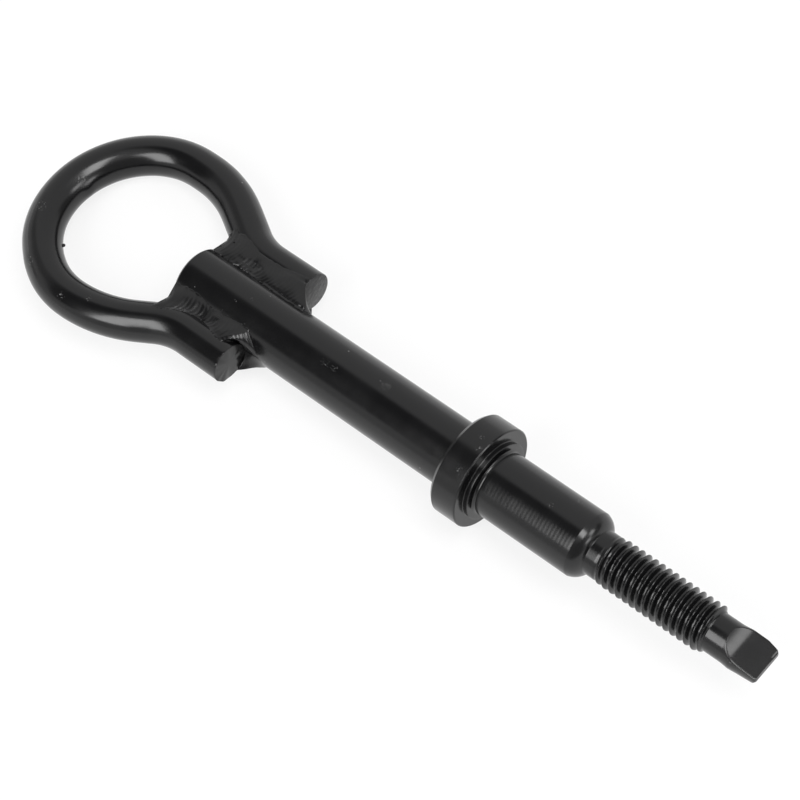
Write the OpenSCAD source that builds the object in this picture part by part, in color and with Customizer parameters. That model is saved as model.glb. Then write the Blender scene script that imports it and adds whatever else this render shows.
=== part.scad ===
// Screw-in tow eye: a bent bar eye welded to a turned steel shank.
// The shank's axis is X, the threaded tip points to +X, and the origin is the centre of the
// collar's front face, which seats against the car's towing socket. The eye lies flat in XY.

/* [Shank] */
// Diameter of the plain shank behind the collar
shank_d = 22; // [18:0.5:26]
// Distance from the centre of the eye's round end to the shank's inner end
shank_inset = 28.1; // [24:0.5:36]
// Chamfer on the shank's inner end
shank_end_chamfer = 0.8; // [0.3:0.1:1.5]

/* [Collar] */
// Diameter of the collar
collar_d = 34.6; // [30:0.2:42]
// Width of the collar along the shank
collar_w = 10.3; // [6:0.1:16]
// Chamfer on the collar's rear edge
collar_back_chamfer = 0.9; // [0.3:0.1:2]
// Chamfer on the collar's front edge
collar_front_chamfer = 0.4; // [0.2:0.1:1]
// Diameter of the low boss on the collar's front face
boss_d = 26.6; // [25:0.2:29]
// Height of the low boss
boss_h = 1.3; // [0.6:0.1:2.5]
// Radius of the fillet between the boss and the guide section
boss_fillet = 1.7; // [1:0.1:1.8]
// Radius of the fillet between the shank and the collar's back
collar_fillet = 0.6; // [0.3:0.1:1.5]

/* [Guide section] */
// Diameter of the smooth section that is guided by the socket
guide_d = 22.1; // [20:0.1:24]
// Distance from the collar's front face to the end of the smooth section
guide_l = 37.5; // [25:0.5:50]
// Length of the cone in front of the smooth section
cone_l = 4; // [2:0.1:8]

/* [Thread] */
// Major diameter of the thread
thread_d = 16; // [14:0.5:18]
// Length of the thread, runouts included
thread_l = 39; // [25:0.5:50]
// Diameter of the plain neck behind the thread
neck_d = 15.1; // [13:0.1:15.5]
// Length of the plain neck behind the thread
neck_l = 4; // [2:0.5:8]
// Length of the chamfer at both ends of the thread
thread_chamfer = 1.4; // [0.8:0.1:2]

/* [Tip] */
// Diameter of the tip in front of the thread
tip_d = 12.9; // [11:0.1:13.2]
// Length of the tip, flat blade included
tip_l = 19; // [16:0.5:26]
// Length of the flat blade at the end of the tip
blade_l = 8.3; // [6:0.1:10]
// Length of the sloping run-out between the round tip and the blade
blade_runout = 4.9; // [3:0.1:5.5]
// Thickness of the blade at its root
blade_root_t = 5.4; // [4:0.1:7]
// Thickness of the blade at its end
blade_end_t = 2.8; // [2:0.1:3.8]

/* [Eye] */
// Diameter of the round bar that the eye is bent from
bar_d = 13.6; // [12:0.1:15]
// Centreline radius of the eye's round end
eye_r = 32; // [29:0.5:38]
// Distance from the collar's front face to the centre of the eye's round end
eye_reach = 153.8; // [120:0.5:190]
// Sideways offset of the eye's centre from the shank's axis, left by the bending
eye_offset = 0.9; // [0:0.1:2]
// Height of the eye's centre plane above the shank's axis
eye_lift = 1.15; // [0:0.05:1.5]
// Centreline radius of the slower curve between the round end and the necks
shoulder_r = 50.6; // [46:0.2:54]
// Angle at which the bar comes in from both sides towards the shank
neck_angle = 30; // [27:0.5:32]
// Centreline radius of the bends from there into the straight legs
neck_bend_r = 25.3; // [20:0.1:28]
// Clearance between each leg and the shank, filled by the welds
leg_gap = 0.3; // [0.1:0.05:0.6]
// Length of the straight leg at each end of the bar
leg_l = 18; // [14:0.5:24]

/* [Welds] */
// Angle around the shank, from the eye's plane, that each weld bead reaches
weld_reach = 44; // [38:1:50]
// Angle around the bar, from the eye's plane, that each weld bead reaches
weld_bar_reach = 78; // [65:1:85]
// Bulge of the beads' outer face above the straight line between their edges
weld_bulge = 0.5; // [0.2:0.1:1]
// Distance that the beads run on past the ends of the legs
weld_runout = 7.5; // [4:0.1:9]
// Depth of the hollow in the beads' inner end, between the shank's end and the bar
weld_throat = 1.2; // [0.5:0.1:1.5]
// Height left open between the upper and the lower bead at their roots
weld_root_gap = 0.4; // [0.2:0.1:1]

/* [Hidden] */

steel = "#1d1d1f";
weld_steel = "#2b2b2d";
round_fn = 96;
bar_fn = 32;
arc_step = 5;
bead_step = 2;
bead_crown_steps = 6;
bead_end_share = 0.2;
seat_turn = 11;
seat_gap = 0.02;
cut_over = 1;

shank_r = shank_d / 2;
guide_r = guide_d / 2;
collar_r = collar_d / 2;
boss_r = boss_d / 2;
neck_r = neck_d / 2;
thread_r = thread_d / 2;
tip_r = tip_d / 2;
bar_r = bar_d / 2;

cone_x = guide_l + cone_l;
thread_x = cone_x + neck_l;
tip_x = thread_x + thread_l;
end_x = tip_x + tip_l;
blade_x = end_x - blade_l;

shank_back_x = -eye_reach + shank_inset;
bead_start = shank_back_x + shank_end_chamfer;
leg_y = shank_r + bar_r + leg_gap;
shoulder_drop = shoulder_r * (1 - cos(neck_angle));
neck_drop = neck_bend_r * (1 - cos(neck_angle));

LEFT = 1;
RIGHT = -1;
TOP = 1;
BOTTOM = -1;

// Half profile of the turned shank, with its axis along the profile's Y.
module shank_profile() {
    difference() {
        polygon([
            [0, shank_back_x],
            [shank_r - shank_end_chamfer, shank_back_x],
            [shank_r, shank_back_x + shank_end_chamfer],
            [shank_r, -collar_w - collar_fillet],
            [shank_r + collar_fillet, -collar_w],
            [collar_r - collar_back_chamfer, -collar_w],
            [collar_r, -collar_w + collar_back_chamfer],
            [collar_r, -collar_front_chamfer],
            [collar_r - collar_front_chamfer, 0],
            [boss_r, 0],
            [boss_r, boss_h],
            [guide_r + boss_fillet, boss_h],
            [guide_r, boss_h + boss_fillet],
            [guide_r, guide_l],
            [neck_r, cone_x],
            [neck_r, thread_x],
            [thread_r, thread_x + thread_chamfer * (thread_r - neck_r) / (thread_r - tip_r)],
            [thread_r, tip_x - thread_chamfer],
            [tip_r, tip_x],
            [tip_r, end_x],
            [0, end_x]
        ]);
        translate([guide_r + boss_fillet, boss_h + boss_fillet])
            circle(r = boss_fillet, $fn = round_fn);
    }
}

// Wedge of metal that the blade's upper flat and its run-out take off the round tip.
module blade_cut() {
    slope = (blade_root_t - blade_end_t) / 2 / blade_l;
    runout_slope = (tip_r - blade_root_t / 2) / blade_runout;
    translate([0, tip_r + cut_over, 0])
        rotate([90, 0, 0])
            linear_extrude(2 * (tip_r + cut_over))
                polygon([
                    [blade_x - blade_runout - cut_over, tip_r + runout_slope * cut_over],
                    [blade_x, blade_root_t / 2],
                    [end_x + cut_over, blade_end_t / 2 - slope * cut_over],
                    [end_x + cut_over, tip_r + runout_slope * cut_over]
                ]);
}

module shank() {
    color(steel)
        difference() {
            rotate([0, 90, 0])
                rotate_extrude($fn = round_fn)
                    shank_profile();
            blade_cut();
            mirror([0, 0, 1])
                blade_cut();
        }
}

// Length of the straight stretch between the shoulder and the neck bend on one side.
function neck_straight(side) =
    (side * eye_offset + eye_r - shoulder_drop - leg_y - neck_drop) / sin(neck_angle);

// X of the point where the neck bend on one side runs into its leg.
function leg_start_x(side) =
    -eye_reach
    + (shoulder_r + neck_bend_r) * sin(neck_angle)
    + neck_straight(side) * cos(neck_angle);

function leg_end_x(side) = leg_start_x(side) + leg_l;

// Stations [x, y, heading] along an arc about a centre, from one angle to another.
function arc_stations(centre, radius, from_angle, to_angle) =
    let (
        steps = ceil(abs(to_angle - from_angle) / arc_step),
        turn = sign(to_angle - from_angle)
    )
    [
        for (i = [0:steps])
            let (a = from_angle + (to_angle - from_angle) * i / steps)
            [centre.x + radius * cos(a), centre.y + radius * sin(a), a + turn * 90]
    ];

// Centre of the shoulder arc and of the neck bend on one side, drawn as the left one.
function shoulder_centre(side) = [-eye_reach, side * eye_offset + eye_r - shoulder_r];
function neck_centre(side) = [leg_start_x(side), leg_y + neck_bend_r];

// Centreline on one side, from the round end to the end of the leg, drawn as the left one.
function side_stations(side) = concat(
    arc_stations(shoulder_centre(side), shoulder_r, 90, 90 - neck_angle),
    arc_stations(neck_centre(side), neck_bend_r, 270 - neck_angle, 270),
    [[leg_end_x(side), leg_y, 0]]
);

// The whole centreline, from the left leg's end round the eye to the right leg's end.
function loop_stations() =
    let (
        left = side_stations(LEFT),
        right = side_stations(RIGHT),
        round_end = arc_stations([-eye_reach, eye_offset], eye_r, 90, 270)
    )
    concat(
        [for (i = [len(left) - 1:-1:1]) [left[i][0], left[i][1], left[i][2] + 180]],
        round_end,
        [for (i = [1:len(right) - 1]) [right[i][0], -right[i][1], -right[i][2]]]
    );

// Closed skin through equal rings of points, each ring turning left as seen along the skin.
// The middle of the first end is pressed in along X by the given depth.
module lofted(rings, first_hollow = 0) {
    count = len(rings);
    size = len(rings[0]);
    middle = count * size;
    walls = [
        for (i = [0:count - 2])
            for (k = [0:size - 1])
                let (n = (k + 1) % size, a = i * size, b = (i + 1) * size)
                each [[a + k, b + k, b + n], [a + k, b + n, a + n]]
    ];
    first_end = [for (k = [0:size - 1]) [k, (k + 1) % size, middle]];
    last_end = [for (k = [size - 1:-1:0]) (count - 1) * size + k];
    first_middle = [for (j = [0:2]) mean([for (p = rings[0]) p[j]])] + [first_hollow, 0, 0];
    polyhedron(
        concat([for (ring = rings) each ring], [first_middle]),
        concat(walls, first_end, [last_end])
    );
}

function mean(values) = [for (v = values) 1] * values / len(values);

module eye_loop() {
    color(steel)
        translate([0, 0, eye_lift])
            lofted([
                for (s = loop_stations())
                    [
                        for (k = [0:bar_fn - 1])
                            let (a = 360 * k / bar_fn, out = bar_r * cos(a))
                            [s[0] - out * sin(s[2]), s[1] + out * cos(s[2]), bar_r * sin(a)]
                    ]
            ]);
}

// Y at X of the line that runs a given distance inside the bar's centreline, towards the
// shank, drawn as the left one.
function bar_line_y(side, x, inside) =
    let (
        turn_r = neck_bend_r + inside,
        back = max(leg_start_x(side) - x, 0),
        run = min(back, turn_r * sin(neck_angle))
    )
    leg_y + neck_bend_r - sqrt(pow(turn_r, 2) - pow(run, 2)) + (back - run) * tan(neck_angle);

// Radius on which the corners of a bead's seat lie, so that its flat facets clear the round
// steel of radius R.
function seat_r(r) = r / cos(seat_turn / 2) + seat_gap;

// Y of a bead's seat on the shank, and on the bar's inner side, at height Z above its centre.
function shank_seat_y(z) = sqrt(pow(seat_r(shank_r), 2) - z * z);
function bar_seat_y(side, x, z) = bar_line_y(side, x, sqrt(pow(seat_r(bar_r), 2) - z * z));

// Angles from one to another in equal steps of at most one facet of a seat.
function seat_angles(from, to) =
    let (steps = ceil(abs(to - from) / seat_turn))
    [for (i = [0:steps]) from + (to - from) * i / steps];

// Points of one bead's section at X, drawn on the left with the bead above: down the shank,
// out along the root, up the bar and back over the crowned face. The lift is the height of
// the bar's centre, and past the leg's end the section draws in to the shank.
function bead_ring(side, lift, x) =
    let (
        root_z = (lift + weld_root_gap) / 2,
        leg_x = min(x, leg_end_x(side)),
        width = 1 - (1 - bead_end_share) * (x - leg_x) / weld_runout,
        shank_points = [
            for (a = seat_angles(weld_reach, asin(root_z / shank_r)))
                let (z = shank_r * sin(a))
                [shank_seat_y(z), z]
        ],
        bar_points = [
            for (a = seat_angles(asin((root_z - lift) / bar_r), weld_bar_reach))
                let (z = bar_r * sin(a))
                [bar_seat_y(side, leg_x, z), lift + z]
        ],
        from = bar_points[len(bar_points) - 1],
        to = shank_points[0],
        crown_points = [
            for (i = [1:bead_crown_steps - 1])
                let (t = i / bead_crown_steps)
                from + (to - from) * t + [0, 4 * weld_bulge * t * (1 - t)]
        ]
    )
    [
        for (p = concat(shank_points, bar_points, crown_points))
            let (wall_y = shank_seat_y(min(p[1], to[1])))
            [x, wall_y + (p[0] - wall_y) * width, p[1]]
    ];

// One weld bead, lofted along the shank from the shank's inner end to past the leg's end.
module bead(side, level) {
    stop = leg_end_x(side) + weld_runout;
    steps = ceil((stop - bead_start) / bead_step);
    mirror([0, side == RIGHT ? 1 : 0, 0])
        mirror([0, 0, level == BOTTOM ? 1 : 0])
            lofted(
                [
                    for (i = [0:steps])
                        let (x = bead_start + (stop - bead_start) * i / steps)
                        bead_ring(side, level * eye_lift, x)
                ],
                weld_throat
            );
}

module weld_left_top() {
    color(weld_steel)
        bead(LEFT, TOP);
}

module weld_left_bottom() {
    color(weld_steel)
        bead(LEFT, BOTTOM);
}

module weld_right_top() {
    color(weld_steel)
        bead(RIGHT, TOP);
}

module weld_right_bottom() {
    color(weld_steel)
        bead(RIGHT, BOTTOM);
}

shank();
eye_loop();
weld_left_top();
weld_left_bottom();
weld_right_top();
weld_right_bottom();
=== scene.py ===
"""Looks of a screw-in tow eye: black dip-coated steel, a rolled thread and four rippled weld beads.

Sizes and places of the part are in millimetres. Its meshes, the stage and the view are in metres.
"""

import math

import bpy
import numpy as np
from mathutils import Matrix, Vector, noise


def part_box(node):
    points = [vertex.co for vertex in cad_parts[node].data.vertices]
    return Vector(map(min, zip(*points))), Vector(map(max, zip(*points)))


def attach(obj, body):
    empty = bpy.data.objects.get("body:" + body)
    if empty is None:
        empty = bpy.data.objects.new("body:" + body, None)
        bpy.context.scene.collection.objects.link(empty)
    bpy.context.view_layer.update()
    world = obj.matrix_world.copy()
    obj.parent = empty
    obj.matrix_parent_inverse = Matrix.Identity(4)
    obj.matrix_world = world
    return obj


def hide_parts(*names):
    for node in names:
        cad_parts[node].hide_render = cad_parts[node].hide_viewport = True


bl_info = {
    "name": "Screw-in Tow Eye",
    "version": (1, 0, 0),
    "blender": (4, 5, 0),
    "location": "3D View > Sidebar > Tow Eye",
    "description": "Builds the looks of a welded, black-coated screw-in tow eye",
    "category": "Object",
}

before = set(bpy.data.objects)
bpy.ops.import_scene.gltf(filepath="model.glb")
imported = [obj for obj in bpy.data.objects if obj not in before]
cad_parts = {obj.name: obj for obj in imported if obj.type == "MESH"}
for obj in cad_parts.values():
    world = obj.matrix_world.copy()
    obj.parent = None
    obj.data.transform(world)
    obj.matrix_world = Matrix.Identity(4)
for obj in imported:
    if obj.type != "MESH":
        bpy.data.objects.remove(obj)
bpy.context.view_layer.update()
MM = 0.001

# Turned shank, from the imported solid's own box where that gives the size
SHANK_LOW, SHANK_HIGH = (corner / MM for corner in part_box("shank"))
BACK_X = SHANK_LOW.x
END_X = SHANK_HIGH.x
COLLAR_R = -SHANK_LOW.z
SHANK_R = 11.0
COLLAR_W = 10.3
BOSS_R = 13.3
BOSS_H = 1.7
UNDERCUT_X = 3.0
UNDERCUT_R = 10.55
GUIDE_R = 11.05
GUIDE_END_X = 37.5
NECK_R = 7.55
NECK_X = 41.5
THREAD_X = 45.5
THREAD_END_X = 84.5
TIP_R = 6.45
BLADE_X = 95.2
BLADE_RUNOUT_X = 90.5
RAMP_SLOPE = 0.98
RAMP_HOLLOW = 0.045
RAMP_LENGTH = 5.2
RAMP_END_SLOPE = 0.5
RAMP_BLEND = 0.3
BLADE_ROOT_HALF = 2.7
BLADE_END_HALF = 1.4
BLADE_EDGE = 0.16
BLADE_EDGE_WEAR = 0.05
SHANK_SEGMENTS = 128
# Steps along the shank: on plain stretches, beside corners, in the thread and at the tip
PLAIN_STEP = 2.0
CORNER_STEP = 0.35
THREAD_STEP = 0.11
TIP_STEP = 0.2
# Sides of the blade, spread by use, as (x, half width)
BLADE_LEFT = [(91, TIP_R), (94, 6.85), (99.3, 6.7), (99.8, 6.6), (102.9, 5.85), (103.5, 5.3)]
BLADE_RIGHT = [(91, TIP_R), (93.9, 6.75), (97, 6.45), (102.9, 6.1), (103.5, 5.7)]
# Chip off the blade's upper left corner and wear of its lower end edge, as (x, run, depth)
BLADE_CHIP = (102.5, 0.9, 0.35)
BLADE_WEAR = (102.3, 1.2, 0.9)
# Where the thread begins, is full, is still full and ends
THREAD_FADE = (THREAD_X - 0.8, THREAD_X + 3.0, THREAD_END_X - 0.9, THREAD_END_X + 0.2)
# Half the crest and one flank as shares of the pitch, and how softly the thread's corners turn
CREST_SHARE = 0.05
FLANK_SHARE = 0.33
CREST_SOFTNESS = 0.12
ROOT_SOFTNESS = 0.15

# Bent bar of the eye
BAR_R = 6.8
EYE_R = 32.0
EYE_CENTRE = (-153.8, 0.9, 1.15)
SHOULDER_R = 50.6
NECK_ANGLE = math.radians(30)
NECK_BEND_R = 25.3
LEG_Y = 18.1
LEG_L = 18.0
BAR_SEGMENTS = 64
BAR_STEP = 0.9
# Worn rim of both ends, as distances from the end and how far the radius is drawn in there
RIM_PLACES = (0.0, 0.12, 0.35)
RIM_INSETS = (0.4, 0.12, 0.0)
# Rough-cut end of the right leg: size of its bumps, how far they stand out and how far along
CUT_BUMP_SIZE = 2.2
CUT_BUMP_OUT = 0.35
CUT_BUMP_ALONG = 0.3

# How far the bent eye stands off its true circle, as (degrees around it, millimetres outwards)
OUT_OF_ROUND = [
    (48, 0.0),
    (60, 0.25),
    (74, 0.26),
    (82, 0.12),
    (88, 0.0),
    (93, 0.0),
    (105, 0.05),
    (131, -0.12),
    (170, -0.06),
    (205, -0.15),
    (222, -0.3),
    (240, -0.36),
    (256, -0.2),
    (275, -0.03),
    (300, 0.0),
]
# Bumps and dents in the bar, as (place, size, height)
DENTS = [
    ((-179.3, 4.0, 0.7), 2.4, 0.5),
    ((-176.5, -26.5, 3.0), 5.0, -0.3),
    ((-170.0, -32.0, 5.0), 4.0, -0.22),
]

LEFT, RIGHT = 1, -1
TOP, BOTTOM = 1, -1

# View of the photograph: a long lens, seen from the tip's right and rolled a little; degrees,
# metres, and millimetres for the lens and its sensor
VIEW_AZIMUTH = 52.009
VIEW_ELEVATION = 56.603
VIEW_ROLL = -12.733
VIEW_DISTANCE = 0.78318
VIEW_TARGET = (-0.04112, 0.00462, 0.0)
VIEW_LENS = 113.47
SENSOR_WIDTH = 36.0


def linear(code):
    """An sRGB hex colour as linear RGB."""
    values = [int(code[i : i + 2], 16) / 255 for i in (1, 3, 5)]
    return [v / 12.92 if v <= 0.04045 else ((v + 0.055) / 1.055) ** 2.4 for v in values]


def smooth(share):
    """Eased share of the way, from 0 to 1."""
    share = np.clip(share, 0, 1)
    return share * share * (3 - 2 * share)


def add(tree, kind, inputs=(), **settings):
    """A new node with its settings, its input values and the links into it."""
    node = tree.nodes.new(kind)
    for name, value in settings.items():
        setattr(node, name, value)
    for key, value in dict(inputs).items():
        if isinstance(value, bpy.types.NodeSocket):
            tree.links.new(value, node.inputs[key])
        else:
            node.inputs[key].default_value = value
    return node


def calc(tree, operation, *values):
    """Result of a math node over its values."""
    return add(tree, "ShaderNodeMath", dict(enumerate(values)), operation=operation).outputs[0]


def mapped(tree, value, low, high, to_low=0.0, to_high=1.0, **settings):
    """A value moved from the range low to high into another one, and kept inside it."""
    inputs = {"Value": value, "From Min": low, "From Max": high, "To Min": to_low, "To Max": to_high}
    return add(tree, "ShaderNodeMapRange", inputs, **settings).outputs[0]


def skin(name, rings, sharp=35):
    """Mesh object through equal rings of points in millimetres, closed at both ends."""
    count, size = rings.shape[:2]
    points = np.concatenate([rings.reshape(-1, 3), rings[0].mean(0)[None], rings[-1].mean(0)[None]])
    i, k = np.meshgrid(np.arange(count - 1), np.arange(size), indexing="ij")
    n = (k + 1) % size
    quads = np.stack([i * size + k, (i + 1) * size + k, (i + 1) * size + n, i * size + n], -1)
    faces = quads.reshape(-1, 4).tolist()
    first, last = count * size, count * size + 1
    faces += [(first, k, (k + 1) % size) for k in range(size)]
    faces += [(last, (count - 1) * size + (k + 1) % size, (count - 1) * size + k) for k in range(size)]
    mesh = bpy.data.meshes.new(name)
    mesh.from_pydata((points * MM).tolist(), [], faces)
    mesh.update()
    return finished(name, mesh, sharp)


def finished(name, mesh, sharp=35):
    """Object of a mesh, shaded smooth apart from its sharp edges."""
    mesh.polygons.foreach_set("use_smooth", [True] * len(mesh.polygons))
    mesh.set_sharp_from_angle(angle=math.radians(sharp))
    piece = bpy.data.objects.new(name, mesh)
    bpy.context.scene.collection.objects.link(piece)
    return piece


def flip_inside_out(piece):
    """Turn a closed piece's faces outwards if its volume comes out negative."""
    mesh = piece.data
    mesh.calc_loop_triangles()
    co = np.array([v.co for v in mesh.vertices])
    tri = np.array([t.vertices for t in mesh.loop_triangles])
    if np.einsum("ij,ij->i", co[tri[:, 0]], np.cross(co[tri[:, 1]], co[tri[:, 2]])).sum() < 0:
        mesh.flip_normals()


# Shank


def rounded(corners, steps=6):
    """Outline through corners (x, radius, rounding), each turned by an arc of its rounding."""
    outline = [np.array(corners[0][:2], float)]
    for before, (x, r, rounding), after in zip(corners, corners[1:], corners[2:]):
        corner = np.array((x, r), float)
        back = np.array(before[:2]) - corner
        ahead = np.array(after[:2]) - corner
        back /= np.linalg.norm(back)
        ahead /= np.linalg.norm(ahead)
        half = math.acos(np.clip(back @ ahead, -1, 1)) / 2
        middle = (back + ahead) / np.linalg.norm(back + ahead)
        centre = corner + middle * rounding / math.sin(half)
        start = corner + back * rounding / math.tan(half) - centre
        stop = corner + ahead * rounding / math.tan(half) - centre
        sweep = math.pi - 2 * half
        for t in np.linspace(0, 1, steps + 1):
            arm = math.sin((1 - t) * sweep) * start + math.sin(t * sweep) * stop
            outline.append(centre + arm / math.sin(sweep))
    outline.append(np.array(corners[-1][:2], float))
    return outline


def blank_outline():
    """(x, radius) of the shank before its thread and blade, from the inner end to the tip."""
    outline = rounded(
        [
            (BACK_X, 0.4, 0),
            (BACK_X, SHANK_R - 0.8, 0.2),
            (BACK_X + 0.8, SHANK_R, 0.4),
            (-COLLAR_W, SHANK_R, 0.5),
            (-COLLAR_W, COLLAR_R - 1.1, 0.15),
            (-COLLAR_W + 1.2, COLLAR_R, 0.15),
            (-0.35, COLLAR_R, 0.15),
            (0, COLLAR_R - 0.35, 0.12),
            (0, BOSS_R, 0.25),
            (BOSS_H, BOSS_R, 0.15),
            (BOSS_H + 0.1, UNDERCUT_R, 0.95),
            (UNDERCUT_X, UNDERCUT_R, 0.1),
            (UNDERCUT_X + 0.06, GUIDE_R, 0.08),
            (GUIDE_END_X, GUIDE_R, 0.15),
            (NECK_X - 1.2, GUIDE_R - 1.05, 5.5),
            (NECK_X, NECK_R, 0.25),
            (THREAD_END_X - 0.9, NECK_R, 0.3),
            (THREAD_END_X + 0.3, TIP_R, 0.3),
            (END_X - 0.15, TIP_R, 0.1),
            (END_X, TIP_R - 0.2, 0),
        ]
    )
    dense = [outline[0]]
    for start, stop in zip(outline, outline[1:]):
        middle = (start[0] + stop[0]) / 2
        step = PLAIN_STEP
        if -12 < middle < 4 or GUIDE_END_X - 1.5 < middle < NECK_X + 2:
            step = CORNER_STEP
        elif THREAD_X - 1.5 < middle < THREAD_END_X + 0.5:
            step = THREAD_STEP
        elif middle >= THREAD_END_X:
            step = TIP_STEP
        parts = max(1, math.ceil(np.linalg.norm(stop - start) / step))
        dense += [start + (stop - start) * (j + 1) / parts for j in range(parts)]
    return np.array(dense)


def blade_half(x):
    """Half thickness of the blade's flats at x, and of the hollow ramps that lead to them."""
    run = x - BLADE_RUNOUT_X
    cut = np.minimum(run, RAMP_LENGTH)
    slope = TIP_R - RAMP_SLOPE * cut + RAMP_HOLLOW * cut**2 - RAMP_END_SLOPE * (run - cut)
    flat = BLADE_ROOT_HALF + (x - BLADE_X) * (BLADE_END_HALF - BLADE_ROOT_HALF) / (END_X - BLADE_X)
    return (slope + flat + np.sqrt((slope - flat) ** 2 + RAMP_BLEND**2)) / 2


def tip_quarter(x, r):
    """(y, z) of a quarter of the tip's ring at x, cut flat above the blade's half thickness."""
    steps = SHANK_SEGMENTS // 4
    t = np.linspace(0, 1, steps + 1)
    ahead = smooth((x - THREAD_END_X) / (BLADE_RUNOUT_X - THREAD_END_X))
    angle = math.pi / 2 * (t * (1 - ahead) + np.minimum(2 * t, 1) * ahead)
    y, z = r * np.cos(angle), r * np.sin(angle)
    half = min(float(blade_half(x)), r)
    whole = half >= r * 0.9995
    if x <= BLADE_RUNOUT_X or whole:
        return y, z
    crease = math.asin(half / r)
    width = r * math.cos(crease)
    round_side = t <= 0.5
    angle = crease * np.minimum(2 * t, 1)
    y = np.where(round_side, r * np.cos(angle), width * (2 - 2 * t))
    z = np.where(round_side, r * np.sin(angle), half)
    k = steps // 2
    # The crease is worn round, more on its side than on the flat
    edge = min(BLADE_EDGE, width / steps, crease * r / steps * 2)
    wear = BLADE_EDGE_WEAR * min(1, edge / BLADE_EDGE)
    y[k - 1], z[k - 1] = r * math.cos(crease - edge / r), r * math.sin(crease - edge / r)
    y[k + 1] = width - edge
    y[k] -= wear
    z[k] -= wear * 0.6
    return y, z


def shank_rings(outline):
    """Rings of points around the shank's axis through the outline."""
    quarter = SHANK_SEGMENTS // 4
    rings = []
    for x, r in outline:
        y, z = tip_quarter(x, r)
        y = np.concatenate([y[:-1], -y[:0:-1], -y[:-1], y[:0:-1]])
        z = np.concatenate([z[:-1], z[:0:-1], -z[:-1], -z[:0:-1]])
        rings.append(np.stack([np.full(4 * quarter, x), y, z], -1))
    return np.array(rings)


def worn_blade(rings):
    """Spread the blade's sides, chip its upper left corner and wear its lower end edge."""
    x, y, z = rings[..., 0], rings[..., 1], rings[..., 2]
    left, right = (np.interp(x, *np.array(side).T) for side in (BLADE_LEFT, BLADE_RIGHT))
    y *= np.where(y > 0, left, right) / TIP_R
    chip_x, chip_run, chip_depth = BLADE_CHIP
    wear_x, wear_run, wear_depth = BLADE_WEAR
    chip = chip_depth * smooth((x - chip_x) / chip_run) * smooth((y - 0.5) / 3.0) * (z > 0)
    wear = wear_depth * smooth((x - wear_x) / wear_run) * (z < 0)
    z += (wear - chip) * np.minimum(np.abs(z) / 0.8, 1)
    return rings


def thread_tree():
    """Geometry nodes that roll a right-hand thread into the blank between two stations."""
    tree = bpy.data.node_groups.new("Rolled right-hand thread", "GeometryNodeTree")
    face = tree.interface
    face.new_socket("Geometry", in_out="INPUT", socket_type="NodeSocketGeometry")
    for name in (
        "Pitch",
        "Crest Radius",
        "Root Radius",
        "Crest X",
        "Start X",
        "Full From X",
        "Full To X",
        "End X",
    ):
        face.new_socket(name, in_out="INPUT", socket_type="NodeSocketFloat")
    face.new_socket("Finish", in_out="INPUT", socket_type="NodeSocketMaterial")
    face.new_socket("Geometry", in_out="OUTPUT", socket_type="NodeSocketGeometry")
    given = add(tree, "NodeGroupInput").outputs
    place = add(tree, "GeometryNodeInputPosition").outputs[0]
    x, y, z = add(tree, "ShaderNodeSeparateXYZ", {0: place}).outputs
    turn = calc(tree, "DIVIDE", calc(tree, "ARCTAN2", z, y), math.tau)
    along = calc(tree, "DIVIDE", calc(tree, "SUBTRACT", x, given["Crest X"]), given["Pitch"])
    off_crest = calc(tree, "PINGPONG", calc(tree, "SUBTRACT", along, turn), 0.5)
    # Narrow crest, straight 60 degree flanks and a small flat root
    flank = calc(tree, "DIVIDE", calc(tree, "SUBTRACT", off_crest, CREST_SHARE), FLANK_SHARE)
    crest = calc(tree, "SMOOTH_MAX", flank, 0.0, CREST_SOFTNESS)
    depth = calc(tree, "SMOOTH_MIN", crest, 1.0, ROOT_SOFTNESS)
    thread_r = mapped(tree, depth, 0.0, 1.0, given["Crest Radius"], given["Root Radius"])
    soft = {"interpolation_type": "SMOOTHSTEP"}
    fade_in = mapped(tree, x, given["Start X"], given["Full From X"], **soft)
    fade_out = mapped(tree, x, given["End X"], given["Full To X"], **soft)
    fade = calc(tree, "MULTIPLY", fade_in, fade_out)
    square = add(tree, "ShaderNodeCombineXYZ", {1: y, 2: z}).outputs[0]
    blank_r = add(tree, "ShaderNodeVectorMath", {0: square}, operation="LENGTH").outputs["Value"]
    share = calc(tree, "DIVIDE", mapped(tree, fade, 0.0, 1.0, blank_r, thread_r), blank_r)
    new_y, new_z = (calc(tree, "MULTIPLY", value, share) for value in (y, z))
    point = add(tree, "ShaderNodeCombineXYZ", {0: x, 1: new_y, 2: new_z}).outputs[0]
    in_thread = add(tree, "FunctionNodeCompare", {0: fade, 1: 0.0}, operation="GREATER_THAN").outputs[0]
    moved = add(
        tree,
        "GeometryNodeSetPosition",
        {"Geometry": given["Geometry"], "Selection": in_thread, "Position": point},
    ).outputs[0]
    real = add(tree, "GeometryNodeRealizeInstances", {0: moved}).outputs[0]
    dressed = add(tree, "GeometryNodeSetMaterial", {0: real, "Material": given["Finish"]}).outputs[0]
    add(tree, "NodeGroupOutput", {0: dressed})
    return tree


def through_tree(piece, tree, values):
    """The piece after a geometry node tree with its named inputs, as a plain mesh."""
    modifier = piece.modifiers.new(tree.name, "NODES")
    modifier.node_group = tree
    sockets = {s.name: s.identifier for s in tree.interface.items_tree if s.in_out == "INPUT"}
    for name, value in values.items():
        modifier[sockets[name]] = value
    bpy.context.view_layer.update()
    evaluated = piece.evaluated_get(bpy.context.evaluated_depsgraph_get())
    mesh = bpy.data.meshes.new_from_object(evaluated)
    name = piece.name
    old = piece.data
    bpy.data.objects.remove(piece)
    bpy.data.meshes.remove(old)
    mesh.name = name
    return finished(name, mesh)


# Bent bar


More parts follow.
